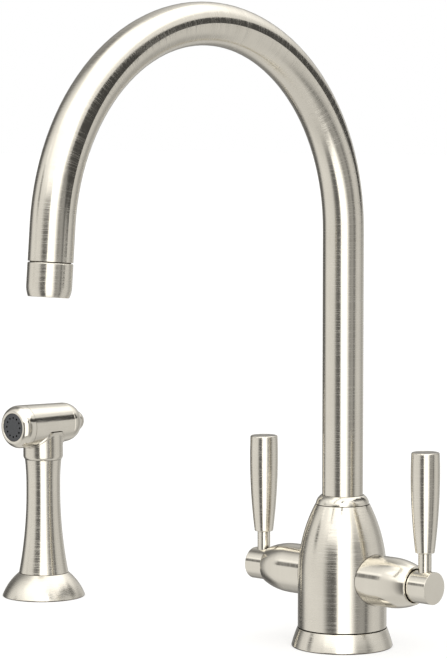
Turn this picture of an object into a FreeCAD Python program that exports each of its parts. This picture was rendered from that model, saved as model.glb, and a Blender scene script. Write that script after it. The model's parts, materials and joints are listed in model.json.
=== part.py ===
import FreeCAD, Part
import math
import os

import Sketcher

# Two-lever kitchen mixer with a separate hand spray in its own holder.
#
# Frame: millimetres, +Z up.  The origin is on the mixer's axis, at the deck that both flanges stand on.
# The spout reaches towards -Y, the cold lever is at +X, the hot lever and the hand spray are at -X.

SIZES = {
    # spout
    "tube_radius": 11.0,
    "tube_wall": 1.0,
    "tube_foot": 70.0,
    "arc_height": 225.3,
    "arc_radius": 107.1,
    "arc_angle": 175.2,
    "tail_length": 18.0,
    "outlet_gap": 0.5,
    "outlet_length": 16.5,
    # mixer body and base
    "body_radius": 24.0,
    "body_foot": 10.6,
    "shoulder_height": 39.0,
    "shoulder_arc": 84.0,
    "body_top": 77.3,
    "boss_radius": 19.9,
    "base_radius": 27.4,
    "base_height": 10.15,
    "joint_gap": 0.35,
    # passages in the body
    "port_radius": 4.5,
    "port_depth": 12.0,
    "port_offset": 13.0,
    "stud_radius": 3.4,
    "stud_offset": 13.5,
    "chamber_radius": 8.0,
    "chamber_floor": 24.0,
    "chamber_top": 47.0,
    "spigot_bore": 10.5,
    "flange_bore": 12.65,
    "flange_floor": 62.0,
    "collar_thread": 13.3,
    "collar_floor": 71.5,
    # arms and levers
    "arm_height": 38.5,
    "arm_radius": 13.5,
    "arm_shoulder": 35.0,
    "arm_arc": 41.0,
    "arm_end": 51.0,
    "boss_root": 16.0,
    "side_boss": 10.9,
    "side_boss_end": 44.0,
    "arm_bore": 9.0,
    "seat_reach": 17.0,
    "hub_radius": 8.65,
    "hub_start": 47.5,
    "hub_end": 63.6,
    "lever_reach": 57.2,
    "stem_radius": 3.5,
    "stem_foot": 43.0,
    "grip_foot": 56.8,
    "grip_top": 110.0,
    "grip_belly": 98.0,
    "grip_radius": 7.7,
    "grip_arc": 323.0,
    # hand spray
    "spray_reach": 232.6,
    "spray_forward": 2.5,
    "holder_radius": 24.5,
    "holder_height": 14.1,
    "holder_top": 14.7,
    "holder_arc": 32.0,
    "throat_radius": 11.2,
    "throat_depth": 6.0,
    "tail_foot": 6.5,
    "waist_height": 65.0,
    "waist_radius": 10.05,
    "neck_foot": 82.3,
    "neck_radius": 11.8,
    "head_height": 102.9,
    "head_radius": 12.65,
    "head_rear_radius": 11.7,
    "head_front": 16.6,
    "head_back": 15.5,
    "head_bore": 9.5,
    "face_radius": 8.2,
    "button_radius": 6.4,
}

doc = FreeCAD.newDocument("mixer")
FINISHED = []
UP = FreeCAD.Vector(0, 0, 1)
DOWN = FreeCAD.Vector(0, 0, -1)
FRONT = FreeCAD.Vector(0, -1, 0)
BACK = FreeCAD.Vector(0, 1, 0)
RIGHT = FreeCAD.Vector(1, 0, 0)
LEFT = FreeCAD.Vector(-1, 0, 0)


# ---------------------------------------------------------------- sizes that remember their formula

class Size:
    """A number together with the sheet formula that gives it."""

    def __init__(self, value, text):
        self.value = value
        self.text = text

    def __add__(self, other):
        return Size(self.value + number(other), f"({self.text} + {formula(other)})")

    def __radd__(self, other):
        return Size(number(other) + self.value, f"({formula(other)} + {self.text})")

    def __sub__(self, other):
        return Size(self.value - number(other), f"({self.text} - {formula(other)})")

    def __rsub__(self, other):
        return Size(number(other) - self.value, f"({formula(other)} - {self.text})")

    def __mul__(self, other):
        return Size(self.value * number(other), f"({self.text} * {formula(other)})")

    def __rmul__(self, other):
        return Size(number(other) * self.value, f"({formula(other)} * {self.text})")

    def __neg__(self):
        return Size(-self.value, f"(-{self.text})")


def number(size):
    return size.value if isinstance(size, Size) else float(size)


def formula(size):
    return size.text if isinstance(size, Size) else repr(float(size))


def root(size):
    return Size(math.sqrt(size.value), f"sqrt({size.text})")


def sine(angle):
    return Size(math.sin(math.radians(angle.value)), f"sin({angle.text} * 1 deg)")


def cosine(angle):
    return Size(math.cos(math.radians(angle.value)), f"cos({angle.text} * 1 deg)")


def make_sheet():
    """Write the driving dimensions into the sheet and return them by name."""
    sheet = doc.addObject("Spreadsheet::Sheet", "sizes")
    named = {}
    for row, (alias, value) in enumerate(SIZES.items(), start=1):
        sheet.set(f"A{row}", alias)
        sheet.set(f"B{row}", str(value))
        sheet.setAlias(f"B{row}", alias)
        named[alias] = Size(value, f"sizes.{alias}")
    doc.recompute()
    return named


# ---------------------------------------------------------------- modelling helpers

def bind(thing, path, size):
    """Tie a property to the sheet, or just set it where the size is a plain number."""
    thing.setExpression(path, formula(size))


def place(thing, spot=(0, 0, 0), direction=UP):
    """Put the thing's own origin at spot and turn its own Z axis towards direction."""
    turn = FreeCAD.Rotation(UP, direction)
    thing.Placement = FreeCAD.Placement(FreeCAD.Vector(*[number(c) for c in spot]), turn)
    for letter, coordinate in zip("xyz", spot):
        if isinstance(coordinate, Size):
            bind(thing, f"Placement.Base.{letter}", coordinate)
    return thing


def arc_middle(start, finish, bend):
    """The middle of an arc; a positive bend swells away from the axis, a negative one towards it."""
    chord = finish - start
    outward = FreeCAD.Vector(-chord.y, chord.x, 0).normalize()
    if outward.x * bend < 0:
        outward = -outward
    radius = abs(bend)
    rise = radius - math.sqrt(radius ** 2 - (chord.Length / 2) ** 2)
    return (start + finish) * 0.5 + outward * rise


def outline(sketch, points):
    """Draw a closed outline; a point's third entry is the radius of the arc that leaves it."""
    corners = [FreeCAD.Vector(number(point[0]), number(point[1]), 0) for point in points]
    edges = []
    ends = []
    for index, point in enumerate(points):
        start = corners[index]
        finish = corners[(index + 1) % len(points)]
        if len(point) == 2:
            edges.append(Part.LineSegment(start, finish))
            ends.append((1, 2))
            continue
        middle = arc_middle(start, finish, number(point[2]))
        if (middle - start).cross(finish - middle).z > 0:
            edges.append(Part.Arc(start, middle, finish))
            ends.append((1, 2))
        else:
            edges.append(Part.Arc(finish, middle, start))
            ends.append((2, 1))
    sketch.addGeometry(edges, False)
    rules = []
    bound = []
    for index, point in enumerate(points):
        after = (index + 1) % len(points)
        rules.append(Sketcher.Constraint("Coincident", index, ends[index][1], after, ends[after][0]))
        for kind, axis, size in (("DistanceX", -2, point[0]), ("DistanceY", -1, point[1])):
            if abs(number(size)) < 1e-9:
                rules.append(Sketcher.Constraint("PointOnObject", index, ends[index][0], axis))
                continue
            bound.append((len(rules), size))
            rules.append(Sketcher.Constraint(kind, -1, 1, index, ends[index][0], number(size)))
        if len(point) == 3:
            radius = point[2] if number(point[2]) > 0 else -point[2]
            bound.append((len(rules), radius))
            rules.append(Sketcher.Constraint("Radius", index, number(radius)))
    sketch.addConstraint(rules)
    for index, size in bound:
        if isinstance(size, Size):
            bind(sketch, f"Constraints[{index}]", size)


def plane_sketch(body, role, name):
    """An empty sketch on one of the body's own origin planes."""
    sketch = body.newObject("Sketcher::SketchObject", name)
    plane = [f for f in body.Origin.OriginFeatures if f.Role == role][0]
    sketch.AttachmentSupport = (plane, [""])
    sketch.MapMode = "FlatFace"
    return sketch


def ring_edges(shape, radius, height):
    """Names of the circular edges about Z at this radius and height."""
    names = []
    for index, edge in enumerate(shape.Edges, start=1):
        curve = edge.Curve
        if not isinstance(curve, Part.Circle):
            continue
        if abs(curve.Radius - number(radius)) < 1e-4 and abs(curve.Center.z - number(height)) < 1e-4:
            names.append(f"Edge{index}")
    return names


def turned(label, points, rounds=()):
    """A piece turned about its own Z axis; rounds lists (radius, height, fillet) of its soft edges."""
    body = doc.addObject("PartDesign::Body", label)
    body.Label = label
    sketch = plane_sketch(body, "XZ_Plane", f"{label}_outline")
    outline(sketch, points)
    lathe = body.newObject("PartDesign::Revolution", f"{label}_turned")
    lathe.Profile = sketch
    lathe.ReferenceAxis = (sketch, ["V_Axis"])
    lathe.Angle = 360
    last = lathe
    for radius, height, size in rounds:
        doc.recompute()
        names = ring_edges(last.Shape, radius, height)
        if not names:
            raise ValueError(f"{label}: no edge at radius {number(radius)}, height {number(height)}")
        fillet = body.newObject("PartDesign::Fillet", f"{label}_round")
        fillet.Base = (last, names)
        bind(fillet, "Radius", size)
        last = fillet
    return body


def ring(label, inner, outer, bottom, top):
    """A plain turned ring."""
    return turned(label, [(inner, bottom), (outer, bottom), (outer, top), (inner, top)])


def rod(label, radius, length, spot=(0, 0, 0), direction=UP):
    """A plain cylinder that starts at spot."""
    piece = doc.addObject("Part::Cylinder", label)
    bind(piece, "Radius", radius)
    bind(piece, "Height", length)
    return place(piece, spot, direction)


def o_ring(label, middle, section):
    piece = doc.addObject("Part::Torus", label)
    piece.Label = label
    bind(piece, "Radius1", middle)
    bind(piece, "Radius2", section)
    return piece


def joined(label, pieces):
    piece = doc.addObject("Part::MultiFuse", label)
    piece.Shapes = pieces
    piece.Label = label
    return piece


def cut(label, base, tools):
    """The base with the tools taken out of it."""
    tool = tools[0] if len(tools) == 1 else joined(f"{label}_tools", tools)
    piece = doc.addObject("Part::Cut", label)
    piece.Base = base
    piece.Tool = tool
    piece.Label = label
    return piece


def coil(label, mean_radius, wire_radius, turns, length):
    """A helical spring along its own Z axis, between flat planes at 0 and length."""
    helix = doc.addObject("Part::Helix", f"{label}_line")
    bind(helix, "Radius", mean_radius)
    bind(helix, "Height", length - 2 * wire_radius)
    bind(helix, "Pitch", (length - 2 * wire_radius) * (1.0 / turns))
    helix.Placement = FreeCAD.Placement(FreeCAD.Vector(0, 0, wire_radius), FreeCAD.Rotation())
    section = doc.addObject("Part::Circle", f"{label}_section")
    bind(section, "Radius", wire_radius)
    upright = FreeCAD.Rotation(FreeCAD.Vector(1, 0, 0), 90)
    section.Placement = FreeCAD.Placement(FreeCAD.Vector(number(mean_radius), 0, wire_radius), upright)
    sweep = doc.addObject("Part::Sweep", label)
    sweep.Sections = [section]
    sweep.Spine = (helix, ["Edge1"])
    sweep.Solid = True
    sweep.Frenet = True
    sweep.Label = label
    return sweep


def finish(piece):
    """Count the piece as a sub-part of the finished object."""
    FINISHED.append(piece)
    return piece


dim = make_sheet()


# ---------------------------------------------------------------- mixer body, base and collar

def ogive_radius(height, gap=0.0):
    """Radius of the bullet-shaped shoulder at a height, a gap outside the metal."""
    arc = dim["shoulder_arc"] + gap
    rise = height - dim["shoulder_height"]
    return dim["body_radius"] + gap - arc + root(arc * arc - rise * rise)


def make_base():
    seal_inner, seal_outer, seal_height = 22.0, 25.0, 1.6
    land = 0.1
    bore = dim["boss_radius"] + 0.1
    edge = dim["base_radius"]
    top = dim["base_radius"] - 3.1
    points = [
        (bore, 0),
        (seal_inner - land, 0),
        (seal_inner - land, seal_height),
        (seal_outer + land, seal_height),
        (seal_outer + land, 0),
        (edge - 0.7, 0, 0.75),
        (edge, 0.8, 75.0),
        (top, dim["base_height"]),
        (bore, dim["base_height"]),
    ]
    finish(turned("base_ring", points, [(top, dim["base_height"], 0.3)]))
    finish(ring("base_seal", seal_inner, seal_outer, 0, seal_height))


def make_mixer_body():
    """Bullet-shaped casting with two side bosses, drilled for water, cartridges and the spout's foot."""
    rinse_way, inlet_way, mixed_way, mixed_offset, stud_depth = 4.0, 3.5, 2.2, 5.5, 10.0
    points = [
        (dim["port_radius"], 0),
        (dim["boss_radius"], 0),
        (dim["boss_radius"], dim["body_foot"]),
        (dim["body_radius"], dim["body_foot"]),
        (dim["body_radius"], dim["shoulder_height"], dim["shoulder_arc"]),
        (ogive_radius(dim["body_top"]), dim["body_top"]),
        (dim["collar_thread"], dim["body_top"]),
        (dim["collar_thread"], dim["collar_floor"]),
        (dim["flange_bore"], dim["collar_floor"]),
        (dim["flange_bore"], dim["flange_floor"]),
        (dim["spigot_bore"], dim["flange_floor"]),
        (dim["spigot_bore"], dim["chamber_top"]),
        (dim["chamber_radius"], dim["chamber_top"]),
        (dim["chamber_radius"], dim["chamber_floor"]),
        (rinse_way, dim["chamber_floor"]),
        (rinse_way, dim["port_depth"]),
        (dim["port_radius"], dim["port_depth"]),
    ]
    core = turned("body_core", points, [(dim["body_radius"], dim["body_foot"], 0.3)])
    bosses = []
    tools = [rod("body_bore", dim["chamber_radius"], dim["chamber_top"] - dim["chamber_floor"],
                 (0, 0, dim["chamber_floor"]))]
    for side, way, direction in (("cold", 1, RIGHT), ("hot", -1, LEFT)):
        across = way * dim["port_offset"]
        high = dim["arm_height"]
        bosses.append(rod(f"{side}_boss", dim["side_boss"], dim["side_boss_end"] - dim["boss_root"],
                          (way * dim["boss_root"], 0, high), direction))
        tools += [
            rod(f"{side}_bore", dim["arm_bore"], 40.0, (way * dim["seat_reach"], 0, high), direction),
            rod(f"{side}_seat", dim["port_radius"], dim["seat_reach"] - dim["port_offset"] + 1.0,
                (across, 0, high), direction),
            rod(f"{side}_riser", inlet_way, high, (across, 0, 0)),
            rod(f"{side}_port", dim["port_radius"], dim["port_depth"] + 1.0, (across, 0, -1.0)),
            rod(f"{side}_mixed_way", mixed_way, dim["seat_reach"] - 4.0,
                (way * 5.0, mixed_offset, high + mixed_offset), direction),
            rod(f"{side}_stud", dim["stud_radius"], stud_depth + 1.0,
                (0, way * dim["stud_offset"], -1.0)),
        ]
    blank = joined("body_blank", [core] + bosses)
    finish(cut("mixer_body", blank, tools))


def make_collar():
    """Domed ring nut that holds the spout's foot down and lets the tube turn in it."""
    bore = dim["tube_radius"] + 0.2
    seat = dim["body_top"] + dim["joint_gap"]
    top = dim["body_top"] + 5.0
    thread = dim["collar_thread"] - 0.05
    flange_radius, dome_radius, lip = 14.4, 6.3, 0.35
    points = [
        (bore, dim["collar_floor"] + 0.05),
        (thread, dim["collar_floor"] + 0.05),
        (thread, seat),
        (flange_radius, seat, dome_radius),
        (bore + lip, top),
        (bore, top),
    ]
    finish(turned("spout_collar", points))


def make_diverter():
    """Pressure diverter under the mixing chamber: it sends water to the spray when that is opened."""
    floor = dim["chamber_floor"]
    sleeve = dim["chamber_radius"] - 0.05
    port, bore, height, plate = 3.4, 5.0, 15.0, 2.0
    points = [
        (port, floor),
        (sleeve, floor),
        (sleeve, floor + height),
        (bore, floor + height),
        (bore, floor + plate),
        (port, floor + plate),
    ]
    finish(turned("diverter_body", points))
    skirt, crown, rim, dimple = 6.0, 11.0, 14.0, 2.2
    piston = [
        (0, skirt),
        (bore - 0.05, skirt),
        (bore - 0.05, rim),
        (dimple, rim),
        (dimple, crown),
        (0, crown),
    ]
    finish(place(turned("diverter_piston", piston), (0, 0, floor)))
    spring = coil("diverter_spring", 3.9, 0.4, 2, skirt - plate - 0.02)
    finish(place(spring, (0, 0, floor + plate + 0.01)))


# ---------------------------------------------------------------- arms, cartridges and levers

def make_saddle():
    """Outer shape of the mixer body, a joint gap larger, for cutting the arm housings' saddles."""
    gap = dim["joint_gap"]
    points = [
        (0, dim["body_foot"]),
        (dim["body_radius"] + gap, dim["body_foot"]),
        (dim["body_radius"] + gap, dim["shoulder_height"], dim["shoulder_arc"] + gap),
        (ogive_radius(dim["body_top"], gap), dim["body_top"]),
        (0, dim["body_top"]),
    ]
    return turned("saddle_tool", points)


def arm_radius_at(reach):
    along = reach - dim["arm_shoulder"]
    return dim["arm_radius"] - dim["arm_arc"] + root(dim["arm_arc"] * dim["arm_arc"] - along * along)


def make_arm_housing(side, way, direction, saddle):
    """Bullet-shaped cover over the side boss, with a recess round the lever hub."""
    end_radius = arm_radius_at(dim["arm_end"])
    bore = dim["side_boss"] + 0.1
    step = dim["side_boss_end"] + 0.2
    hub_gap = 0.6
    points = [
        (bore, dim["boss_root"]),
        (dim["arm_radius"], dim["boss_root"]),
        (dim["arm_radius"], dim["arm_shoulder"], dim["arm_arc"]),
        (end_radius, dim["arm_end"]),
        (dim["hub_radius"] + hub_gap, dim["arm_end"]),
        (dim["hub_radius"] + hub_gap, step),
        (bore, step),
    ]
    blank = turned(f"{side}_arm_blank", points, [(end_radius, dim["arm_end"], 0.35)])
    place(blank, (0, 0, dim["arm_height"]), direction)
    finish(cut(f"{side}_arm_housing", blank, [saddle]))


def make_cartridge(side, way, direction):
    """Quarter-turn ceramic cartridge on the arm's axis; every reach is from the mixer's axis."""
    seat = dim["seat_reach"]
    height = dim["arm_height"]
    axis = (0, 0, height)
    disc_radius, disc_hole, disc_pitch = 6.4, 1.7, 3.4
    seal_radius, seal_thickness = 7.0, 1.6
    shoulder = seat + 9.0
    disc_end = seat + 10.0
    shell_end = seat + 23.0

    seal = ring(f"{side}_seat_seal", dim["port_radius"] + 0.1, seal_radius, seat, seat + seal_thickness)
    finish(place(seal, axis, direction))

    discs = (("fixed_disc", 1.65, 4.6), ("turning_disc", 4.62, 7.2))
    for name, bottom, top in discs:
        blank = ring(f"{side}_{name}_blank", 0.6, disc_radius, seat + bottom, seat + top)
        place(blank, axis, direction)
        start = way * (seat + 1.5)
        ways = [rod(f"{side}_{name}_way", disc_hole, 6.0, (start, 0, height + lift), direction)
                for lift in (disc_pitch, -disc_pitch)]
        finish(cut(f"{side}_{name}", blank, ways))

    bore = disc_radius + 0.05
    shell_radius = dim["arm_bore"] - 0.07
    stem_bore = dim["stem_radius"] + 0.05
    nose_radius = 7.9
    shell = [
        (bore, seat + 1.65),
        (nose_radius, seat + 1.65),
        (nose_radius, shoulder),
        (shell_radius, shoulder),
        (shell_radius, shell_end),
        (stem_bore, shell_end),
        (stem_bore, disc_end + 0.1),
        (bore, disc_end + 0.1),
    ]
    blank = place(turned(f"{side}_cartridge_blank", shell), axis, direction)
    windows = [rod(f"{side}_window", 1.8, 20.0, (way * (seat + 6.5), -10.0, height), BACK)]
    finish(cut(f"{side}_cartridge_body", blank, windows))

    groove_radius, groove_start, groove_end = 2.6, seat + 14.0, seat + 15.2
    spindle_foot, spindle_end = seat + 7.22, seat + 39.0
    spindle = [
        (0, spindle_foot),
        (disc_radius - 0.05, spindle_foot),
        (disc_radius - 0.05, disc_end),
        (dim["stem_radius"], disc_end),
        (dim["stem_radius"], groove_start),
        (groove_radius, groove_start),
        (groove_radius, groove_end),
        (dim["stem_radius"], groove_end),
        (dim["stem_radius"], spindle_end),
        (0, spindle_end),
    ]
    finish(place(turned(f"{side}_spindle", spindle), axis, direction))
    seal = o_ring(f"{side}_spindle_o_ring", 3.07, 0.45)
    finish(place(seal, (way * (seat + 14.6), 0, height), direction))

    nut_end = dim["side_boss_end"]
    nut_bore, nut_radius = dim["stem_radius"] + 0.2, dim["arm_bore"] - 0.05
    blank = ring(f"{side}_nut_blank", nut_bore, nut_radius, shell_end + 0.05, nut_end)
    place(blank, axis, direction)
    slots = [rod(f"{side}_nut_slot", 1.2, 3.0, (way * (nut_end - 1.5), 0, height + lift), direction)
             for lift in (6.3, -6.3)]
    finish(cut(f"{side}_cartridge_nut", blank, slots))


def make_lever(side, way, direction):
    """Hub on the spindle, with an upright stem and a tapered grip."""
    height = dim["arm_height"]
    axis = (0, 0, height)
    blank = ring(f"{side}_hub_blank", dim["stem_radius"] + 0.02, dim["hub_radius"],
                 dim["hub_start"], dim["lever_reach"] - 1.0)
    end = turned(f"{side}_hub_end", [
        (0, dim["lever_reach"] - 1.0),
        (dim["hub_radius"], dim["lever_reach"] - 1.0),
        (dim["hub_radius"], dim["hub_end"]),
        (0, dim["hub_end"]),
    ], [(dim["hub_radius"], dim["hub_end"], 0.25)])
    place(blank, axis, direction)
    place(end, axis, direction)
    whole = joined(f"{side}_hub_whole", [blank, end])
    screw_reach = way * (dim["hub_start"] + 4.7)
    reach = way * dim["lever_reach"]
    tools = [
        rod(f"{side}_stem_hole", dim["stem_radius"], 20.0, (reach, 0, dim["stem_foot"])),
        rod(f"{side}_screw_hole", 2.0, 12.0, (screw_reach, 0, height), DOWN),
    ]
    finish(cut(f"{side}_lever_hub", whole, tools))

    screw = place(ring(f"{side}_screw_blank", 0.9, 1.97, 3.6, 8.1), (screw_reach, 0, height), DOWN)
    point = rod(f"{side}_screw_point", 1.9, 2.0, (screw_reach, 0, height - 3.55), DOWN)
    finish(joined(f"{side}_hub_screw", [screw, point]))

    socket = dim["grip_foot"] + 12.2
    finish(rod(f"{side}_lever_stem", dim["stem_radius"], socket - dim["stem_foot"],
               (reach, 0, dim["stem_foot"])))

    def grip_radius_at(level):
        off = level - dim["grip_belly"]
        arc = dim["grip_arc"]
        return dim["grip_radius"] - arc + root(arc * arc - off * off)

    foot_radius = grip_radius_at(dim["grip_foot"])
    top_radius = grip_radius_at(dim["grip_top"])
    points = [
        (dim["stem_radius"], dim["grip_foot"]),
        (foot_radius, dim["grip_foot"], dim["grip_arc"]),
        (top_radius, dim["grip_top"]),
        (0, dim["grip_top"]),
        (0, socket),
        (dim["stem_radius"], socket),
    ]
    rounds = [(foot_radius, dim["grip_foot"], 0.6), (top_radius, dim["grip_top"], 0.8)]
    finish(place(turned(f"{side}_lever_grip", points, rounds), (reach, 0, 0)))


# ---------------------------------------------------------------- spout

def tail_point(along):
    """A point on the spout's straight tail, this far past the end of the arc."""
    angle = dim["arc_angle"]
    back = dim["arc_radius"] * (1 - cosine(angle)) + along * sine(angle)
    high = dim["arc_height"] + dim["arc_radius"] * sine(angle) + along * cosine(angle)
    return (0, -back, high)


def tail_direction():
    angle = math.radians(number(dim["arc_angle"]))
    return FreeCAD.Vector(0, -math.sin(angle), math.cos(angle))


def make_spout_tube():
    """Drawn tube: straight riser, one round arc and a short straight tail."""
    body = doc.addObject("PartDesign::Body", "spout_tube")
    body.Label = "spout_tube"
    path = plane_sketch(body, "YZ_Plane", "spout_path")
    foot = FreeCAD.Vector(0, number(dim["tube_foot"]), 0)
    spring = FreeCAD.Vector(0, number(dim["arc_height"]), 0)
    centre = FreeCAD.Vector(-number(dim["arc_radius"]), number(dim["arc_height"]), 0)
    sweep = math.radians(number(dim["arc_angle"]))
    circle = Part.Circle(centre, UP, number(dim["arc_radius"]))
    start, finish_point = [FreeCAD.Vector(number(p[1]), number(p[2]), 0)
                           for p in (tail_point(0), tail_point(dim["tail_length"]))]
    path.addGeometry([Part.LineSegment(foot, spring), Part.ArcOfCircle(circle, 0, sweep),
                      Part.LineSegment(start, finish_point)], False)
    path.addConstraint([
        Sketcher.Constraint("PointOnObject", 0, 1, -2),
        Sketcher.Constraint("PointOnObject", 0, 2, -2),
        Sketcher.Constraint("DistanceY", -1, 1, 0, 1, foot.y),
        Sketcher.Constraint("DistanceY", -1, 1, 0, 2, spring.y),
        Sketcher.Constraint("Tangent", 0, 2, 1, 1),
        Sketcher.Constraint("Radius", 1, number(dim["arc_radius"])),
        Sketcher.Constraint("Tangent", 1, 2, 2, 1),
        Sketcher.Constraint("Distance", 2, 1, 2, 2, number(dim["tail_length"])),
        Sketcher.Constraint("DistanceY", -1, 1, 2, 1, number(tail_point(0)[2])),
    ])
    for index, size in ((2, dim["tube_foot"]), (3, dim["arc_height"]), (5, dim["arc_radius"]),
                        (7, dim["tail_length"]), (8, tail_point(0)[2])):
        bind(path, f"Constraints[{index}]", size)
    section = plane_sketch(body, "XY_Plane", "spout_section")
    section.AttachmentOffset = FreeCAD.Placement(UP * number(dim["tube_foot"]), FreeCAD.Rotation())
    bind(section, "AttachmentOffset.Base.z", dim["tube_foot"])
    origin = FreeCAD.Vector(0, 0, 0)
    radii = (dim["tube_radius"], dim["tube_radius"] - dim["tube_wall"])
    section.addGeometry([Part.Circle(origin, UP, number(radius)) for radius in radii], False)
    for index, radius in enumerate(radii):
        section.addConstraint(Sketcher.Constraint("Coincident", index, 3, -1, 1))
        rule = section.addConstraint(Sketcher.Constraint("Radius", index, number(radius)))
        bind(section, f"Constraints[{rule}]", radius)
    pipe = body.newObject("PartDesign::AdditivePipe", "spout_bend")
    pipe.Profile = section
    pipe.Spine = (path, ["Edge1", "Edge2", "Edge3"])
    finish(body)


def make_spout_foot():
    """Turned brass spigot in the tube's foot, its seals, and the rings it turns between."""
    foot = dim["tube_foot"]
    plug = dim["tube_radius"] - dim["tube_wall"] - 0.02
    shank = dim["spigot_bore"] - 0.08
    waterway, groove, spigot_foot = 7.0, 9.0, 48.0
    points = [(waterway, spigot_foot), (shank, spigot_foot)]
    grooves = (50.5, 56.5)
    for low in grooves:
        points += [(shank, low), (groove, low), (groove, low + 2.0), (shank, low + 2.0)]
    points += [
        (shank, foot - 6.0),
        (dim["flange_bore"] - 0.1, foot - 6.0),
        (dim["flange_bore"] - 0.1, foot),
        (plug, foot),
        (plug, foot + 10.0),
        (waterway, foot + 10.0),
    ]
    finish(turned("spout_spigot", points))
    seals = [place(o_ring(f"spout_o_ring_{index}", 9.75, 0.72), (0, 0, low + 1.0))
             for index, low in enumerate(grooves)]
    finish(joined("spout_o_rings", seals))
    finish(ring("upper_glide_ring", dim["tube_radius"] + 0.1, dim["flange_bore"] - 0.1,
                foot + 0.05, dim["collar_floor"]))
    finish(ring("lower_thrust_ring", dim["spigot_bore"] + 0.1, dim["flange_bore"] - 0.05,
                dim["flange_floor"], foot - 6.05))


def make_outlet():
    """Nipple in the tube's end, and the sleeve that screws on to it and holds the aerator."""
    start = dim["tail_length"] + dim["outlet_gap"]
    aim = tail_direction()
    spot = tail_point(start)
    inside = dim["tube_radius"] - dim["tube_wall"] - 0.02
    back = dim["outlet_gap"] + 12.0
    waterway, thread, thread_length = 7.5, 9.0, 7.5
    nipple = [
        (waterway, 0),
        (inside, 0),
        (inside, back),
        (thread, back),
        (thread, back + thread_length),
        (waterway, back + thread_length),
    ]
    finish(place(turned("spout_nipple", nipple), tail_point(start - back), aim))
    length = dim["outlet_length"]
    wide = dim["tube_radius"] + 0.03
    bore, mouth, rim = thread + 0.05, 8.2, 1.2
    sleeve = [
        (bore, 0),
        (wide - 0.35, 0),
        (wide, 0.5),
        (wide, length - 5.0, 14.0),
        (wide - 0.95, length - 0.4, 0.45),
        (wide - 1.45, length),
        (mouth, length),
        (mouth, length - rim),
        (bore, length - rim),
    ]
    finish(place(turned("outlet_sleeve", sleeve), spot, aim))
    finish(place(ring("aerator_washer", 7.2, 9.0, 7.6, 9.2), spot, aim))
    make_aerator(spot, aim)


def make_aerator(spot, aim):
    """Flow straightener: a plastic disc drilled with rings of round ways."""
    disc_bottom, disc_top = 9.3, number(dim["outlet_length"]) - 1.25
    blank = ring("aerator_blank", 0, 9.0, disc_bottom, disc_top)
    way_radius, way_length, way_foot = 0.95, 10.0, 7.0
    ways = [rod("aerator_way", way_radius, way_length, (0, 0, way_foot))]
    for count, pitch in ((6, 2.8), (12, 5.6)):
        for index in range(count):
            turn = 2 * math.pi * index / count
            spot_on_disc = (pitch * math.cos(turn), pitch * math.sin(turn), way_foot)
            ways.append(rod("aerator_way", way_radius, way_length, spot_on_disc))
    finish(place(cut("aerator_insert", blank, ways), spot, aim))


# ---------------------------------------------------------------- hand spray: holder and handset

def spray_spot(height=0.0, back=0.0):
    """A point on the hand spray, by height over the deck and distance behind its axis."""
    return (-dim["spray_reach"], back - dim["spray_forward"], height)


def make_holder():
    """Bell-shaped deck flange with a threaded throat, a plastic liner and a seal underneath."""
    top = dim["holder_height"]
    seal_inner, seal_outer, seal_height = 18.0, 21.5, 1.2
    liner_radius = 12.5
    throat = dim["throat_radius"]
    throat_top = dim["throat_depth"]
    points = [
        (throat, 0),
        (seal_inner - 0.1, 0),
        (seal_inner - 0.1, seal_height),
        (seal_outer + 0.1, seal_height),
        (seal_outer + 0.1, 0),
        (dim["holder_radius"] - 0.6, 0, 0.62),
        (dim["holder_radius"], 0.7, dim["holder_arc"]),
        (dim["holder_top"], top),
        (liner_radius + 0.05, top),
        (liner_radius + 0.05, throat_top),
        (throat, throat_top),
    ]
    rounds = [(dim["holder_top"], top, 0.25)]
    finish(place(turned("spray_holder", points, rounds), spray_spot()))
    finish(place(ring("holder_liner", 10.55, liner_radius, throat_top, top - 0.5), spray_spot()))
    finish(place(ring("holder_seal", seal_inner, seal_outer, 0, seal_height), spray_spot()))


def make_grip():
    """Waisted grip tube; its tail drops into the holder."""
    foot = dim["holder_height"] + 0.1
    flare_arc, swell_arc = 262.0, 126.0
    flare_radius = dim["waist_radius"] + 4.65
    top = dim["neck_foot"] - 0.2
    tail = dim["tail_foot"]
    tail_radius, socket, waterway, neck_socket = 10.2, 8.0, 6.0, 9.0
    socket_top = tail + 19.2
    neck_seat = dim["neck_foot"] - 10.4
    clip_groove, clip_foot, clip_top = 8.7, tail + 1.9, tail + 3.1
    points = [
        (socket, tail),
        (tail_radius, tail),
        (tail_radius, foot),
        (flare_radius, foot, -flare_arc),
        (dim["waist_radius"], dim["waist_height"]),
        (dim["waist_radius"], dim["waist_height"] + 3.0, -swell_arc),
        (dim["waist_radius"] + 0.8, top),
        (neck_socket, top),
        (neck_socket, neck_seat),
        (waterway, neck_seat),
        (waterway, socket_top),
        (socket, socket_top),
        (socket, clip_top),
        (clip_groove, clip_top),
        (clip_groove, clip_foot),
        (socket, clip_foot),
    ]
    rounds = [(tail_radius, tail, 0.6), (flare_radius, foot, 0.25)]
    finish(place(turned("spray_grip", points, rounds), spray_spot()))
    finish(place(ring("connector_clip", 7.0, 8.6, clip_foot + 0.05, clip_top - 0.05), spray_spot()))


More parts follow.
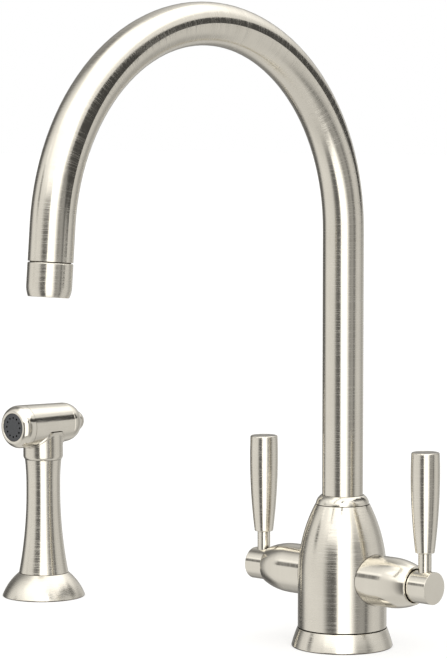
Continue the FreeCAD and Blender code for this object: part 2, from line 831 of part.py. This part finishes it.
def make_connector():
    """Hose connector that stays with the hose while the grip turns round it."""
    mouth, thread_end, top = 0.6, 10.6, 19.0
    clip_neck, clip_top = 6.8, 3.2
    outside, groove, groove_foot, groove_top = 7.93, 6.9, 14.0, 15.6
    waterway = 3.5
    points = [
        (dim["port_radius"], mouth),
        (clip_neck, mouth),
        (clip_neck, clip_top),
        (outside, clip_top),
        (outside, groove_foot),
        (groove, groove_foot),
        (groove, groove_top),
        (outside, groove_top),
        (outside, top),
        (waterway, top),
        (waterway, thread_end),
        (dim["port_radius"], thread_end),
    ]
    tail = dim["tail_foot"]
    finish(place(turned("hose_connector", points), spray_spot(tail)))
    finish(place(o_ring("connector_o_ring", 7.43, 0.52), spray_spot(tail + 14.8)))


def barrel_outline(inner, gap):
    """Section of the slightly tapered barrel, its outside a gap larger than the metal."""
    front, back = dim["head_front"], dim["head_back"]
    return [
        (inner, -front),
        (dim["head_radius"] + gap, -front),
        (dim["head_rear_radius"] + gap, back),
        (inner, back),
    ]


def make_neck(head):
    """Short upright between the grip and the head, with a lipped saddle that fits the barrel."""
    foot = dim["neck_foot"]
    top = dim["head_height"] - 4.0
    lip_out, lip_thick, fit_gap = 0.9, 0.8, 0.03
    waterway, thread, thread_length, bead_arc, bead_height = 5.0, 8.95, 10.3, 2.9, 2.2
    points = [
        (waterway, foot - thread_length),
        (thread, foot - thread_length),
        (thread, foot),
        (dim["neck_radius"] - 0.9, foot, bead_arc),
        (dim["neck_radius"], foot + bead_height),
        (dim["neck_radius"], top),
        (waterway, top),
    ]
    blank = place(turned("neck_blank", points), spray_spot())
    sleeve = place(ring("lip_sleeve", dim["neck_radius"] - 1.0, dim["neck_radius"] + lip_out,
                        foot + 3.0, top), spray_spot())
    lip = doc.addObject("Part::Common", "saddle_lip")
    lip.Base = sleeve
    lip.Tool = place(turned("lip_tool", barrel_outline(0, lip_thick)), head, BACK)
    barrel_tool = place(turned("barrel_tool", barrel_outline(0, fit_gap)), head, BACK)
    finish(cut("spray_neck", joined("neck_and_lip", [blank, lip]), [barrel_tool]))


def make_head():
    """Horizontal head: barrel, rounded bezel, spray face, rear cap and the sprung valve inside."""
    front, back, bore = dim["head_front"], dim["head_back"], dim["head_bore"]
    head = spray_spot(dim["head_height"])
    make_neck(head)
    blank = place(turned("barrel_blank", barrel_outline(bore, 0)), head, BACK)
    water_way = rod("barrel_way", 5.0, dim["head_radius"] + 2.0, head, DOWN)
    finish(cut("head_barrel", blank, [water_way]))

    lip_radius, lip_front = 9.6, front + 7.9
    bezel = [
        (dim["face_radius"] + 0.05, front - 3.0),
        (bore - 0.05, front - 3.0),
        (bore - 0.05, front + 0.06),
        (dim["head_radius"] - 0.15, front + 0.06),
        (dim["head_radius"] + 0.02, front + 0.25),
        (dim["head_radius"] + 0.02, front + 2.7, 6.0),
        (lip_radius, lip_front),
        (dim["face_radius"] + 0.05, lip_front),
    ]
    rounds = [(lip_radius, lip_front, 0.5), (dim["face_radius"] + 0.05, lip_front, 0.4)]
    finish(place(turned("spray_bezel", bezel, rounds), head, FRONT))
    make_spray_face(head, lip_front - 0.5)
    make_rear_cap(head, back, bore)
    make_valve(head, back, bore)


def make_rear_cap(head, back, bore):
    """Rounded cap that closes the barrel, and the thumb button that slides in it."""
    well = dim["button_radius"] + 0.1
    cap_top = back + 8.4
    stem_hole = 1.55
    cap = [
        (stem_hole, back - 4.6),
        (bore - 0.05, back - 4.6),
        (bore - 0.05, back + 0.06),
        (dim["head_rear_radius"] - 0.2, back + 0.06),
        (dim["head_rear_radius"], back + 0.3, 11.5),
        (dim["head_rear_radius"] - 1.8, back + 6.2, 4.9),
        (well + 0.8, cap_top),
        (well, cap_top),
        (well, back - 2.6),
        (stem_hole, back - 2.6),
    ]
    finish(place(turned("rear_cap", cap), head, BACK))
    finish(place(ring("stem_seal", 1.52, 4.0, back - 6.2, back - 4.65), head, BACK))

    foot, rim, crown, dome_radius = back + 3.4, back + 8.9, back + 15.9, 6.6
    button = [
        (0, foot),
        (dim["button_radius"], foot),
        (dim["button_radius"], rim, dome_radius),
        (0.6, crown),
        (0, crown),
    ]
    finish(place(turned("spray_button", button), head, BACK))


def make_valve(head, back, bore):
    """Sprung poppet valve in the barrel, lifted off its seat by the button."""
    shut, seal_front = -6.0, -7.22
    spring_foot = spray_spot(dim["head_height"], back - 2.59)
    finish(place(coil("valve_spring", 3.4, 0.3, 3, 5.98), spring_foot, BACK))
    poppet_radius, poppet_front, stem_radius, stem_end = 4.2, -9.0, 1.5, back + 3.38
    stem = [
        (0, poppet_front),
        (poppet_radius, poppet_front),
        (poppet_radius, seal_front - 0.03),
        (stem_radius, seal_front - 0.03),
        (stem_radius, stem_end),
        (0, stem_end),
    ]
    finish(place(turned("valve_stem", stem), head, BACK))
    seal = ring("poppet_seal", stem_radius + 0.02, poppet_radius, seal_front, shut - 0.02)
    finish(place(seal, head, BACK))
    finish(place(ring("valve_seat", 2.6, bore - 0.05, shut, shut + 2.5), head, BACK))


def make_spray_face(head, top):
    """Rubber-like face disc with a ring of twelve fine outlets."""
    holes, pitch, way_radius, thickness = 12, 5.65, 0.62, 3.3
    blank = ring("face_blank", 0, dim["face_radius"], top - thickness, top)
    ways = []
    for index in range(holes):
        turn = 2 * math.pi * index / holes
        spot = (pitch * math.cos(turn), pitch * math.sin(turn), top - thickness - 1.0)
        ways.append(rod("face_way", way_radius, thickness + 2.0, spot))
    finish(place(cut("spray_face", blank, ways), head, FRONT))


# ---------------------------------------------------------------- build, check and write

def check(piece):
    shape = piece.Shape
    if shape.isNull() or not shape.isValid():
        raise ValueError(f"{piece.Label} has no valid shape")
    if not shape.Solids:
        raise ValueError(f"{piece.Label} holds no solid")


make_base()
make_mixer_body()
make_collar()
make_diverter()
saddle_tool = make_saddle()
for side_name, side_way, side_direction in (("cold", 1, RIGHT), ("hot", -1, LEFT)):
    make_arm_housing(side_name, side_way, side_direction, saddle_tool)
    make_cartridge(side_name, side_way, side_direction)
    make_lever(side_name, side_way, side_direction)
make_spout_tube()
make_spout_foot()
make_outlet()
make_holder()
make_grip()
make_connector()
make_head()
doc.recompute()

failed = [item.Label for item in doc.Objects if "Invalid" in item.State or "Error" in item.State]
if failed:
    raise ValueError(f"these objects failed: {failed}")
for finished in FINISHED:
    check(finished)

os.makedirs("parts", exist_ok=True)
for finished in FINISHED:
    finished.Shape.exportStep(f"parts/{finished.Label}.step")
print(len(FINISHED), "sub-parts written")
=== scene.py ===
import json
import math

import bpy
from mathutils import Euler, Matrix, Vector

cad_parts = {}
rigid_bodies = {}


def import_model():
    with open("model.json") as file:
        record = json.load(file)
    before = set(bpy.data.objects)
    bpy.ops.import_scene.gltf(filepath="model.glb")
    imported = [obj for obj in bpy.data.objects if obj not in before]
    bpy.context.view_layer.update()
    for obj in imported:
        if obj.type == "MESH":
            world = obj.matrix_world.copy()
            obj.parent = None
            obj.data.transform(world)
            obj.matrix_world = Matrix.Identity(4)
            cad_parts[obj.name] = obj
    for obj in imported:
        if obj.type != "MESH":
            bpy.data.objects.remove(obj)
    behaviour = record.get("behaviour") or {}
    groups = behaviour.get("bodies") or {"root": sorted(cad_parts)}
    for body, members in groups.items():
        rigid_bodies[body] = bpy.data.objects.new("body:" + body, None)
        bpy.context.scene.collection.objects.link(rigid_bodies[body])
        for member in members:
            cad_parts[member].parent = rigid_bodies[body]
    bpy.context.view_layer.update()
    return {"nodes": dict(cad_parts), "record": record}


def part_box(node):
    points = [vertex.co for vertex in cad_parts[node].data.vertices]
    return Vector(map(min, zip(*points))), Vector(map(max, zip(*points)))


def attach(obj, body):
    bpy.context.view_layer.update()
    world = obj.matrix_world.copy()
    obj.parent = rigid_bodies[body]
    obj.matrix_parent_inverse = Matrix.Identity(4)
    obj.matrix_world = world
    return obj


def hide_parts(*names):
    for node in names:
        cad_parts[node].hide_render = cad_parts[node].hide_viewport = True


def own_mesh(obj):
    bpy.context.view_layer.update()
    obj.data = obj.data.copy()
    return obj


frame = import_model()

NODES = frame["nodes"]

# Two-lever mixer in warm brushed nickel with a separate hand spray.  Metres, +Z up, the deck at z = 0.
# Compass angles in this file: 0 is in front of the mixer (-Y), 90 is to its right (+X).

# ---------------------------------------------------------------- camera

CAMERA_SPOT = (0.96468, -1.12622, 0.28661)
CAMERA_DIP = 4.4385
CAMERA_TURN = 43.063
LENS = 151.21
SENSOR = 36.0
CLIP = (0.05, 60.0)

# ---------------------------------------------------------------- studio levels

# Brightness of the walls, by compass angle.
WALLS = (
    (-180, 0.52), (-172, 0.62), (-156, 0.62), (-146, 0.34), (-112, 0.22), (-101, 0.12), (-89, 0.14),
    (-79, 0.40), (-70, 0.82), (-55, 0.88), (-30, 0.86), (-12, 0.80), (-4, 0.50), (3, 0.20), (16, 0.12),
    (23, 0.22), (29, 0.28), (80, 0.34), (90, 0.40), (99, 0.38), (104, 0.16), (109, 0.30), (115, 0.60),
    (128, 0.74), (150, 0.70), (164, 0.46), (178, 0.46),
)
# The same above the walls, below the ceiling.
UPPER = (
    (-180, 1.20), (-165, 1.10), (-152, 0.90), (-140, 0.74), (-126, 0.50), (-108, 0.30), (-95, 0.22),
    (-86, 0.32), (-76, 0.60), (-62, 0.90), (-44, 1.12), (-26, 1.20), (-12, 1.55), (20, 1.70), (58, 1.60),
    (72, 1.10), (90, 0.95), (120, 1.05), (145, 0.90), (158, 0.90), (168, 1.20),
)
LEVEL_SCALE = 1.8
LOW_LEVEL = 0.74
ZENITH_LEVEL = 1.7
KEY_LEVEL = 1.5
STRIPE_DARK = 0.10
STRIPE_LIGHT = 1.5
WARM_WHITE = (1.0, 0.985, 0.955)

# Dark cards along the spout: how far round its bend, then the compass angle and elevation of either edge.
ARCH_CARD = (
    (14, (160, 2), (170, 3)), (32, (147, 3), (167, 8)), (48, (141, 2), (167, 14)),
    (64, (138, 2), (163, 20)), (80, (137, 0), (148, 22)), (96, (137, 0), (138, 23)),
    (112, (137, 0), (129, 22)), (128, (137, -1), (114, 28)),
)
OUTLET_CARD = (
    (128, (137, -1), (114, 28)), (144, (136, -1), (92, 29)), (160, (130, 0), (82, 17)),
    (172, (127, -3), (100, 4)),
)
# Distances at which the cards stand clear of the spout at every swivel angle.
ARCH_CARD_GAP = 0.38
OUTLET_CARD_GAP = 0.15
TAIL_CARD_NEAR = (126, 0.93, 0.10, 0.24)
TAIL_CARD_FAR = (115, 3.1, -0.02, 0.14)
HEAD_CARD_GAP = 0.60
HEAD_CARD_TURN = (136, 158)
HEAD_CARD_RISE = (12, 31)
HEAD_CARD_STRIPS = 8
CARD_LEVEL = 0.07

FLOOR_REACH = 14.0
FLOOR_GREY = 0.45
FLOOR_GLOW = 0.55

# ---------------------------------------------------------------- finishes

NICKEL_DARK = (0.72, 0.685, 0.610)
NICKEL_LIGHT = (0.80, 0.768, 0.692)
# Painted shade: brown-black laid into the nickel's joints and small holes, where shade falls.
PAINTED_JOINT_SHADE = (0.075, 0.052, 0.030)
# Painted shade: black laid into the holes of the spray face.
PAINTED_HOLE_SHADE = (0.002, 0.002, 0.002)
CREVICE_REACH = 0.0018
# Openness of a spot at which the painted shade covers it fully, and at which none is left.
CREVICE_OPENNESS = (0.35, 0.80)
SCRATCHES_PER_METRE = 2200.0
# Level of the scratch pattern at which the metal starts to be rougher, and is at its roughest.
SCRATCH_LEVELS = (0.42, 0.66)
CLOUDS_PER_METRE = 60.0
SPECKS_PER_METRE = 1800.0
# How far the scratch pattern is drawn out along the brushing.
TURNED_STRETCH = 0.025
LONG_STRETCH = 0.02
SCRATCH_BUMP = (0.014, 0.0002)
SPECK_BUMP = (0.15, 0.00005)


# ---------------------------------------------------------------- node graph helper

class Graph:
    """Short calls for wiring a node tree; an input may be a socket, a number or a tuple."""

    def __init__(self, tree):
        self.tree = tree
        tree.nodes.clear()

    def node(self, kind, **settings):
        made = self.tree.nodes.new(kind)
        for name, value in settings.items():
            setattr(made, name, value)
        return made

    def feed(self, socket, value):
        if isinstance(value, bpy.types.NodeSocket):
            self.tree.links.new(value, socket)
        elif value is not None:
            socket.default_value = value

    def math(self, operation, first, second=None):
        made = self.node("ShaderNodeMath", operation=operation)
        self.feed(made.inputs[0], first)
        self.feed(made.inputs[1], second)
        return made.outputs[0]

    def vector(self, operation, first, second=None):
        made = self.node("ShaderNodeVectorMath", operation=operation)
        self.feed(made.inputs[0], first)
        self.feed(made.inputs[1], second)
        return made.outputs["Vector"]

    def split(self, vector):
        made = self.node("ShaderNodeSeparateXYZ")
        self.feed(made.inputs[0], vector)
        return made.outputs

    def join(self, x, y, z):
        made = self.node("ShaderNodeCombineXYZ")
        for socket, value in zip(made.inputs, (x, y, z)):
            self.feed(socket, value)
        return made.outputs[0]

    def step(self, value, low, high, to_low=0.0, to_high=1.0):
        """Smooth climb from to_low to to_high while value goes from low to high."""
        made = self.node("ShaderNodeMapRange", interpolation_type="SMOOTHSTEP")
        for socket, given in zip(made.inputs, (value, low, high, to_low, to_high)):
            self.feed(socket, given)
        return made.outputs[0]

    def band(self, value, low, high, soft):
        """1 between low and high, 0 outside, with soft edges."""
        return self.math("MULTIPLY", self.step(value, low - soft, low + soft),
                         self.step(value, high - soft, high + soft, 1.0, 0.0))

    def blend(self, low, high, share):
        """From low to high as share goes from 0 to 1, past 1 too."""
        keep = self.math("MULTIPLY", low, self.math("SUBTRACT", 1.0, share))
        return self.math("ADD", keep, self.math("MULTIPLY", high, share))

    def noise(self, vector, scale, detail=2.0, roughness=0.5):
        made = self.node("ShaderNodeTexNoise")
        self.feed(made.inputs["Vector"], vector)
        made.inputs["Scale"].default_value = scale
        made.inputs["Detail"].default_value = detail
        made.inputs["Roughness"].default_value = roughness
        return made.outputs["Fac"]

    def ramp(self, value, stops):
        """Colour ramp; stops are (place, colour) with places from 0 to 1."""
        made = self.node("ShaderNodeValToRGB")
        self.feed(made.inputs[0], value)
        elements = made.color_ramp.elements
        while len(elements) < len(stops):
            elements.new(0.5)
        for element, (spot, colour) in zip(elements, stops):
            element.position = spot
            element.color = (*colour, 1.0)
        return made.outputs["Color"]

    def bump(self, height, strength, distance):
        made = self.node("ShaderNodeBump")
        made.inputs["Strength"].default_value = strength
        made.inputs["Distance"].default_value = distance
        self.feed(made.inputs["Height"], height)
        return made.outputs["Normal"]


def start_material(name):
    material = bpy.data.materials.new(name)
    material.use_nodes = True
    graph = Graph(material.node_tree)
    shader = graph.node("ShaderNodeBsdfPrincipled")
    graph.feed(graph.node("ShaderNodeOutputMaterial").inputs["Surface"], shader.outputs[0])
    return material, graph, shader


# ---------------------------------------------------------------- camera and studio

def make_camera():
    data = bpy.data.cameras.new("camera")
    data.lens = LENS
    data.sensor_width = SENSOR
    data.clip_start, data.clip_end = CLIP
    camera = bpy.data.objects.new("camera", data)
    camera.location = CAMERA_SPOT
    camera.rotation_euler = Euler((math.radians(90.0 - CAMERA_DIP), 0.0, math.radians(CAMERA_TURN)))
    bpy.context.scene.collection.objects.link(camera)
    bpy.context.scene.camera = camera


def by_compass(graph, turn_share, stops):
    """Level by compass angle; a ramp only holds values up to 1, so levels go in scaled down."""
    places = [((angle + 180) / 360, (level / LEVEL_SCALE,) * 3) for angle, level in stops]
    return graph.math("MULTIPLY", graph.ramp(turn_share, places), LEVEL_SCALE)


def studio_level(graph):
    """Brightness by direction: pale walls with dark gaps, a bright ceiling and one tall key softbox."""
    direction = graph.node("ShaderNodeTexCoord").outputs["Generated"]
    x, y, z = graph.split(direction)
    turn = graph.math("DEGREES", graph.math("ARCTAN2", x, graph.math("MULTIPLY", y, -1.0)))
    rise = graph.math("DEGREES", graph.math("ARCSINE", z))
    turn_share = graph.math("DIVIDE", graph.math("ADD", turn, 180.0), 360.0)
    walls = by_compass(graph, turn_share, WALLS)
    upper = by_compass(graph, turn_share, UPPER)
    light = graph.blend(LOW_LEVEL, walls, graph.step(rise, -58.0, -34.0))
    # The upper level starts lower, and sharper, over the dark gap beside the key light.
    gap = graph.band(turn, -5.0, 27.0, 4.0)
    climb = graph.blend(graph.step(rise, 12.0, 34.0), graph.step(rise, 14.0, 21.0), gap)
    light = graph.blend(light, upper, climb)
    key = graph.math("MULTIPLY", graph.step(turn, 24.0, 32.0), graph.step(turn, 54.0, 80.0, 1.0, 0.0))
    key = graph.math("MULTIPLY", key, graph.band(rise, -40.0, 48.0, 3.0))
    light = graph.math("ADD", light, graph.math("MULTIPLY", key, KEY_LEVEL))
    # The ceiling light starts higher on the left.
    left = graph.band(turn, -152.0, -36.0, 8.0)
    overhead = graph.blend(graph.step(rise, 37.0, 46.0), graph.step(rise, 58.0, 76.0), left)
    light = graph.blend(light, ZENITH_LEVEL, overhead)
    # A narrow dark panel under a light one, for the two arms.
    stripe = graph.band(turn, -48.0, -38.0, 5.0)
    dark = graph.math("MULTIPLY", stripe, graph.band(rise, 10.0, 23.5, 2.0))
    light = graph.blend(light, STRIPE_DARK, dark)
    pale = graph.math("MULTIPLY", stripe, graph.band(rise, 26.0, 33.0, 3.0))
    return graph.blend(light, STRIPE_LIGHT, pale)


def make_world():
    """The studio as reflections see it, in front of a white backdrop."""
    world = bpy.data.worlds.new("studio")
    world.use_nodes = True
    bpy.context.scene.world = world
    graph = Graph(world.node_tree)
    tint = graph.node("ShaderNodeMix", data_type="RGBA", blend_type="MULTIPLY")
    tint.inputs["Factor"].default_value = 1.0
    graph.feed(tint.inputs["A"], studio_level(graph))
    tint.inputs["B"].default_value = (*WARM_WHITE, 1.0)
    studio = graph.node("ShaderNodeBackground")
    graph.feed(studio.inputs["Color"], tint.outputs["Result"])
    backdrop = graph.node("ShaderNodeBackground")
    backdrop.inputs["Color"].default_value = (1.0, 1.0, 1.0, 1.0)
    mix = graph.node("ShaderNodeMixShader")
    graph.feed(mix.inputs[0], graph.node("ShaderNodeLightPath").outputs["Is Camera Ray"])
    graph.feed(mix.inputs[1], studio.outputs[0])
    graph.feed(mix.inputs[2], backdrop.outputs[0])
    graph.feed(graph.node("ShaderNodeOutputWorld").inputs["Surface"], mix.outputs[0])


def towards(start, turn, rise, distance):
    """The point at a distance from start, by compass angle and elevation."""
    turn, rise = math.radians(turn), math.radians(rise)
    flat = distance * math.cos(rise)
    x = start[0] + flat * math.sin(turn)
    y = start[1] - flat * math.cos(turn)
    return (x, y, start[2] + distance * math.sin(rise))


def make_card(name, edges):
    """Dark card that only reflections see, ruled between pairs of edge points."""
    corners = [corner for pair in edges for corner in pair]
    faces = [(2 * index, 2 * index + 2, 2 * index + 3, 2 * index + 1) for index in range(len(edges) - 1)]
    mesh = bpy.data.meshes.new(name)
    mesh.from_pydata(corners, [], faces)
    card = bpy.data.objects.new(name, mesh)
    bpy.context.scene.collection.objects.link(card)
    card.visible_camera = card.visible_diffuse = card.visible_shadow = False
    material, graph, shader = start_material(name)
    shader.inputs["Base Color"].default_value = (0.0, 0.0, 0.0, 1.0)
    shader.inputs["Roughness"].default_value = 1.0
    shader.inputs["Specular IOR Level"].default_value = 0.0
    shader.inputs["Emission Color"].default_value = (*WARM_WHITE, 1.0)
    shader.inputs["Emission Strength"].default_value = CARD_LEVEL
    mesh.materials.append(material)


def spout_shape():
    """Radius of the spout's bend and height of the bend's centre."""
    low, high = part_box("spout_tube")
    radius = (high.x - low.x) / 2
    bend = (high.y - radius - (low.y + radius)) / 2
    return bend, high.z - radius - bend


def make_cards():
    """Dark cards along the spout's arch, beside its tail and behind the spray head."""
    bend, crown = spout_shape()
    for name, gap, rows in (("arch_card", ARCH_CARD_GAP, ARCH_CARD),
                            ("outlet_card", OUTLET_CARD_GAP, OUTLET_CARD)):
        edges = []
        for along, first, last in rows:
            angle = math.radians(along)
            spot = (0.0, bend * (math.cos(angle) - 1), crown + bend * math.sin(angle))
            edges.append((towards(spot, *first, gap), towards(spot, *last, gap)))
        make_card(name, edges)
    low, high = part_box("spout_tube")
    tail = (0.0, low.y + (high.x - low.x) / 2, low.z)
    edges = []
    for turn, distance, bottom, top in (TAIL_CARD_NEAR, TAIL_CARD_FAR):
        x, y, _ = towards(tail, turn, 0, distance)
        edges.append(((x, y, bottom), (x, y, top)))
    make_card("tail_card", edges)
    low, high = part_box("head_barrel")
    middle = (low + high) / 2
    edges = []
    for index in range(HEAD_CARD_STRIPS + 1):
        turn = HEAD_CARD_TURN[0] + (HEAD_CARD_TURN[1] - HEAD_CARD_TURN[0]) * index / HEAD_CARD_STRIPS
        edges.append([towards(middle, turn, rise, HEAD_CARD_GAP) for rise in HEAD_CARD_RISE])
    make_card("head_card", edges)


def make_floor():
    """White floor that glows a little, so that it meets the backdrop without a line."""
    mesh = bpy.data.meshes.new("floor")
    corners = [(x * FLOOR_REACH, y * FLOOR_REACH, 0) for x, y in ((-1, -1), (1, -1), (1, 1), (-1, 1))]
    mesh.from_pydata(corners, [], [(0, 1, 2, 3)])
    floor = bpy.data.objects.new("floor", mesh)
    bpy.context.scene.collection.objects.link(floor)
    floor.visible_glossy = False
    paper = bpy.data.materials.new("floor_paper")
    paper.use_nodes = True
    graph = Graph(paper.node_tree)
    diffuse = graph.node("ShaderNodeBsdfDiffuse")
    diffuse.inputs["Color"].default_value = (FLOOR_GREY, FLOOR_GREY, FLOOR_GREY, 1.0)
    glow = graph.node("ShaderNodeEmission")
    glow.inputs["Strength"].default_value = FLOOR_GLOW
    total = graph.node("ShaderNodeAddShader")
    graph.feed(total.inputs[0], diffuse.outputs[0])
    graph.feed(total.inputs[1], glow.outputs[0])
    graph.feed(graph.node("ShaderNodeOutputMaterial").inputs["Surface"], total.outputs[0])
    mesh.materials.append(paper)


# ---------------------------------------------------------------- materials

def in_world(graph, vector):
    """The vector, given in the piece's own frame, turned with the body it rides on."""
    made = graph.node("ShaderNodeVectorTransform", vector_type="VECTOR",
                      convert_from="OBJECT", convert_to="WORLD")
    graph.feed(made.inputs[0], vector)
    return made.outputs[0]


def along_axis(axis, along, other):
    """Three numbers: along in the place of the axis, other in the two places beside it."""
    return tuple(along if name == axis else other for name in "xyz")


def turned_streak(centre, axis):
    """Scratches that run round an axis through centre."""
    def streak(graph, place):
        reach = graph.vector("SUBTRACT", place, tuple(centre))
        round_way = in_world(graph, graph.vector("CROSS_PRODUCT", along_axis(axis, 1.0, 0.0), reach))
        normal = graph.node("ShaderNodeNewGeometry").outputs["Normal"]
        across = graph.vector("NORMALIZE", graph.vector("CROSS_PRODUCT", normal, round_way))
        return graph.vector("MULTIPLY", place, along_axis(axis, 1.0, TURNED_STRETCH)), across

    return streak


def long_streak(centre, axis):
    """Scratches that run along an axis through centre."""
    def streak(graph, place):
        reach = graph.vector("SUBTRACT", place, tuple(centre))
        across = in_world(graph, graph.vector("CROSS_PRODUCT", along_axis(axis, 1.0, 0.0), reach))
        return graph.vector("MULTIPLY", place, along_axis(axis, LONG_STRETCH, 1.0)), across

    return streak


def spout_streak(graph, place):
    """Scratches that run round the bent tube."""
    bend, crown = spout_shape()
    x, y, z = graph.split(place)
    back = graph.math("ADD", y, bend)
    lift = graph.math("SUBTRACT", z, crown)
    angle = graph.math("ARCTAN2", graph.math("MAXIMUM", lift, 0.0), back)
    straight = graph.math("MULTIPLY", graph.math("MINIMUM", lift, 0.0), graph.math("SIGN", back))
    along = graph.math("ADD", graph.math("MULTIPLY", angle, bend), straight)
    slope = graph.math("MULTIPLY", graph.math("SINE", angle), -1.0)
    across = in_world(graph, graph.join(0.0, slope, graph.math("COSINE", angle)))
    return graph.join(graph.math("MULTIPLY", x, LONG_STRETCH), 0.0, along), across


def paint_shade_in_crevices(graph, colour, shade_colour):
    """The colour, turning to a painted shade colour in joints and small holes, where ambient occlusion
    finds them closed in.
    """
    crevice = graph.node("ShaderNodeAmbientOcclusion", samples=8)
    crevice.inputs["Distance"].default_value = CREVICE_REACH
    mix = graph.node("ShaderNodeMix", data_type="RGBA")
    graph.feed(mix.inputs["Factor"], graph.step(crevice.outputs["AO"], *CREVICE_OPENNESS))
    mix.inputs["A"].default_value = (*shade_colour, 1.0)
    graph.feed(mix.inputs["B"], colour)
    return mix.outputs["Result"]


def nickel(name, streak, roughness=0.14, anisotropy=0.80, scatter=0.15):
    """Brushed nickel; streak gives the brushing coordinate and the way across the scratches."""
    material, graph, shader = start_material(name)
    place = graph.node("ShaderNodeTexCoord").outputs["Object"]
    brushed, across = streak(graph, place)
    fine = graph.noise(brushed, SCRATCHES_PER_METRE, detail=3.0, roughness=0.65)
    cloud = graph.noise(place, CLOUDS_PER_METRE, detail=2.0)
    tone = graph.math("ADD", graph.math("MULTIPLY", fine, 0.55), graph.math("MULTIPLY", cloud, 0.45))
    metal = graph.ramp(tone, [(0.3, NICKEL_DARK), (0.7, NICKEL_LIGHT)])
    # Painted shade in the joints and small holes of the nickel.
    graph.feed(shader.inputs["Base Color"], paint_shade_in_crevices(graph, metal, PAINTED_JOINT_SHADE))
    shader.inputs["Metallic"].default_value = 1.0
    rough = graph.step(fine, *SCRATCH_LEVELS, roughness, roughness + scatter)
    graph.feed(shader.inputs["Roughness"], rough)
    shader.inputs["Anisotropic"].default_value = anisotropy
    graph.feed(shader.inputs["Tangent"], across)
    graph.feed(shader.inputs["Normal"], graph.bump(fine, *SCRATCH_BUMP))
    return material


def paint(node, material):
    mesh = NODES[node].data
    mesh.materials.clear()
    mesh.materials.append(material)


def paint_brushed(node, streak_kind, axis, *finish):
    """Nickel brushed round or along an axis through the middle of the node."""
    low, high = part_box(node)
    paint(node, nickel(f"{node}_nickel", streak_kind((low + high) / 2, axis), *finish))


def paint_nickel():
    """Each finish is roughness, anisotropy and how much rougher the scratches are."""
    paint("spout_tube", nickel("spout_nickel", spout_streak))
    for node in ("mixer_body", "spout_collar", "spray_grip", "spray_neck", "outlet_sleeve",
                 "cold_lever_grip", "hot_lever_grip", "cold_lever_stem", "hot_lever_stem"):
        paint_brushed(node, turned_streak, "z")
    paint_brushed("base_ring", turned_streak, "z", 0.16, 0.6, 0.12)
    paint_brushed("spray_holder", turned_streak, "z", 0.24, 0.6, 0.06)
    for node in ("cold_arm_housing", "cold_lever_hub", "hot_arm_housing", "hot_lever_hub"):
        paint_brushed(node, turned_streak, "x", 0.11, 0.45, 0.09)
    for node in ("spray_bezel", "rear_cap", "spray_button"):
        paint_brushed(node, turned_streak, "y", 0.10, 0.4, 0.08)
    paint_brushed("head_barrel", long_streak, "y", 0.11, 0.4, 0.10)


# Darkest and lightest colour, metallic and roughness of each plain material.
PLAIN = {
    "bare_brass": ((0.66, 0.48, 0.20), (0.76, 0.58, 0.28), 1.0, 0.30),
    "seal_rubber": ((0.018, 0.018, 0.018), (0.035, 0.035, 0.035), 0.0, 0.60),
    "ceramic": ((0.78, 0.77, 0.72), (0.86, 0.85, 0.80), 0.0, 0.16),
    "acetal": ((0.70, 0.70, 0.67), (0.78, 0.78, 0.75), 0.0, 0.42),
    "spray_face_plastic": ((0.036, 0.038, 0.042), (0.052, 0.055, 0.060), 0.0, 0.45),
    "spring_steel": ((0.50, 0.50, 0.49), (0.62, 0.62, 0.60), 1.0, 0.28),
    "screw_steel": ((0.42, 0.42, 0.41), (0.52, 0.52, 0.50), 1.0, 0.34),
    # Painted shade: near-black brass for the spout's nipple, standing for the shade in the groove at the
    # outlet.
    "tarnished_brass": ((0.055, 0.045, 0.030), (0.090, 0.075, 0.050), 1.0, 0.40),
}


def plain(name, dark, light, metallic, roughness):
    """Finely speckled plastic, rubber, ceramic or bare metal."""
    material, graph, shader = start_material(name)
    place = graph.node("ShaderNodeTexCoord").outputs["Object"]
    speck = graph.noise(place, SPECKS_PER_METRE, detail=4.0)
    colour = graph.ramp(speck, [(0.3, dark), (0.7, light)])
    # Painted shade: the holes of the spray face turn black.
    if name == "spray_face_plastic":
        colour = paint_shade_in_crevices(graph, colour, PAINTED_HOLE_SHADE)
    graph.feed(shader.inputs["Base Color"], colour)
    shader.inputs["Metallic"].default_value = metallic
    rough = graph.step(speck, 0.3, 0.7, roughness - 0.04, roughness + 0.04)
    graph.feed(shader.inputs["Roughness"], rough)
    graph.feed(shader.inputs["Normal"], graph.bump(speck, *SPECK_BUMP))
    return material


def paint_plain():
    """The smaller and inner pieces, by the record's material slot."""
    made = {name: plain(name, *look) for name, look in PLAIN.items()}
    for entry in frame["record"]["subparts"]:
        if entry["material_slot"] in made:
            paint(entry["node"], made[entry["material_slot"]])
    # The spout's nipple gets the near-black painted shade.
    paint("spout_nipple", made["tarnished_brass"])


# ---------------------------------------------------------------- springs

def squash_springs():
    """Stand-ins for the CAD springs: copies riding on their joint's parent body, with the CAD springs
    hidden.
    """
    for joint in frame["record"]["behaviour"]["joints"]:
        for entry in joint.get("deforming_nodes", ()):
            node, letter = entry["node"], entry["mode"][-1]
            spring = bpy.data.objects.new(f"{node}_coil", NODES[node].data.copy())
            spring.matrix_world = NODES[node].matrix_world
            bpy.context.scene.collection.objects.link(spring)
            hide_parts(node)
            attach(spring, joint["parent"])
            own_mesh(spring)


make_camera()
make_world()
make_floor()
make_cards()
paint_plain()
paint_nickel()
squash_springs()

bpy.context.scene.view_settings.view_transform = "Standard"
